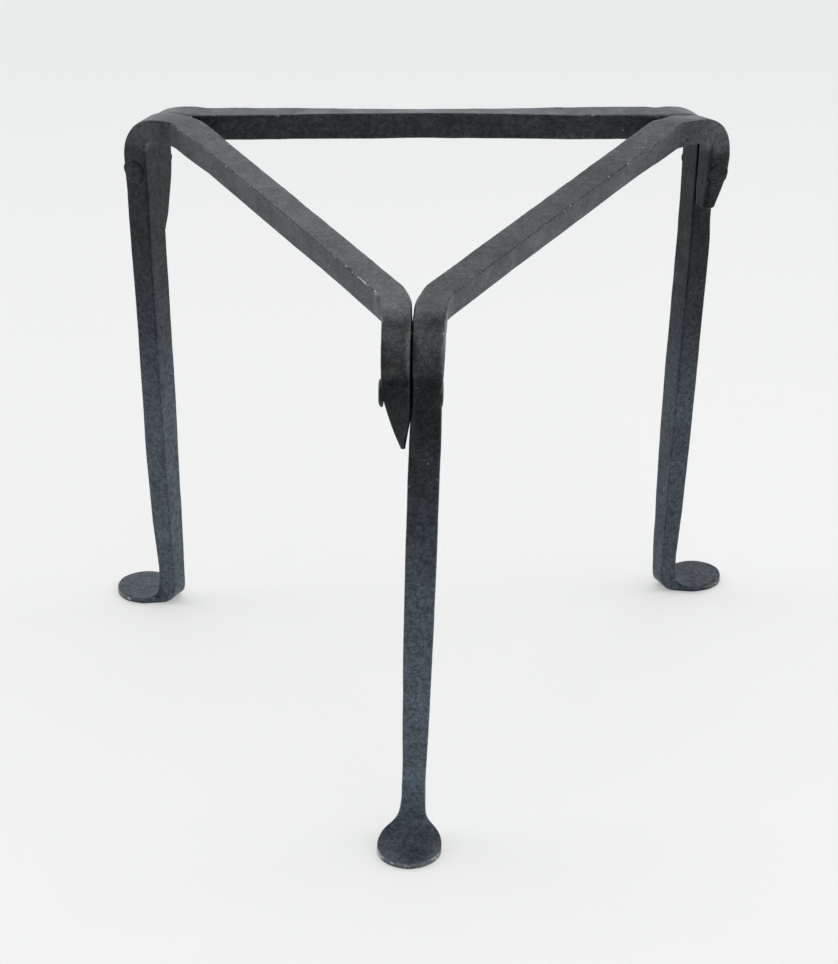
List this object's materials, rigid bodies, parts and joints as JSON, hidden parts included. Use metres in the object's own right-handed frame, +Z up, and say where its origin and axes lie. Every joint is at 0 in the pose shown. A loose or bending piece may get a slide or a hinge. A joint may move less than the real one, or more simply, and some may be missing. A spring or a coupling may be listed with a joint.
{
  "type": "forged trivet stand",
  "caption": "Hand-forged iron trivet: a triangle of square rails on tall tapered legs with round penny feet and pointed riveted tails, to hold a pot or hot iron.",
  "frame": {"origin": "on the floor plane under the centre of the outline", "axes": "+Z up from the floor, -Y towards the front leg, +X to the right when facing the front leg"},
  "size_m": [0.2353, 0.2102, 0.201],
  "materials": {
    "iron": "blackened forged surface, satin, with hammer facets, fine pits and worn bright edges",
    "rivet_iron": "blackened hammered head, satin"
  },
  "bodies": {
    "root": {"member_front": "iron", "member_right": "iron", "member_left": "iron", "rivet_front": "rivet_iron", "rivet_right": "rivet_iron", "rivet_left": "rivet_iron"}
  },
  "joints": []
}
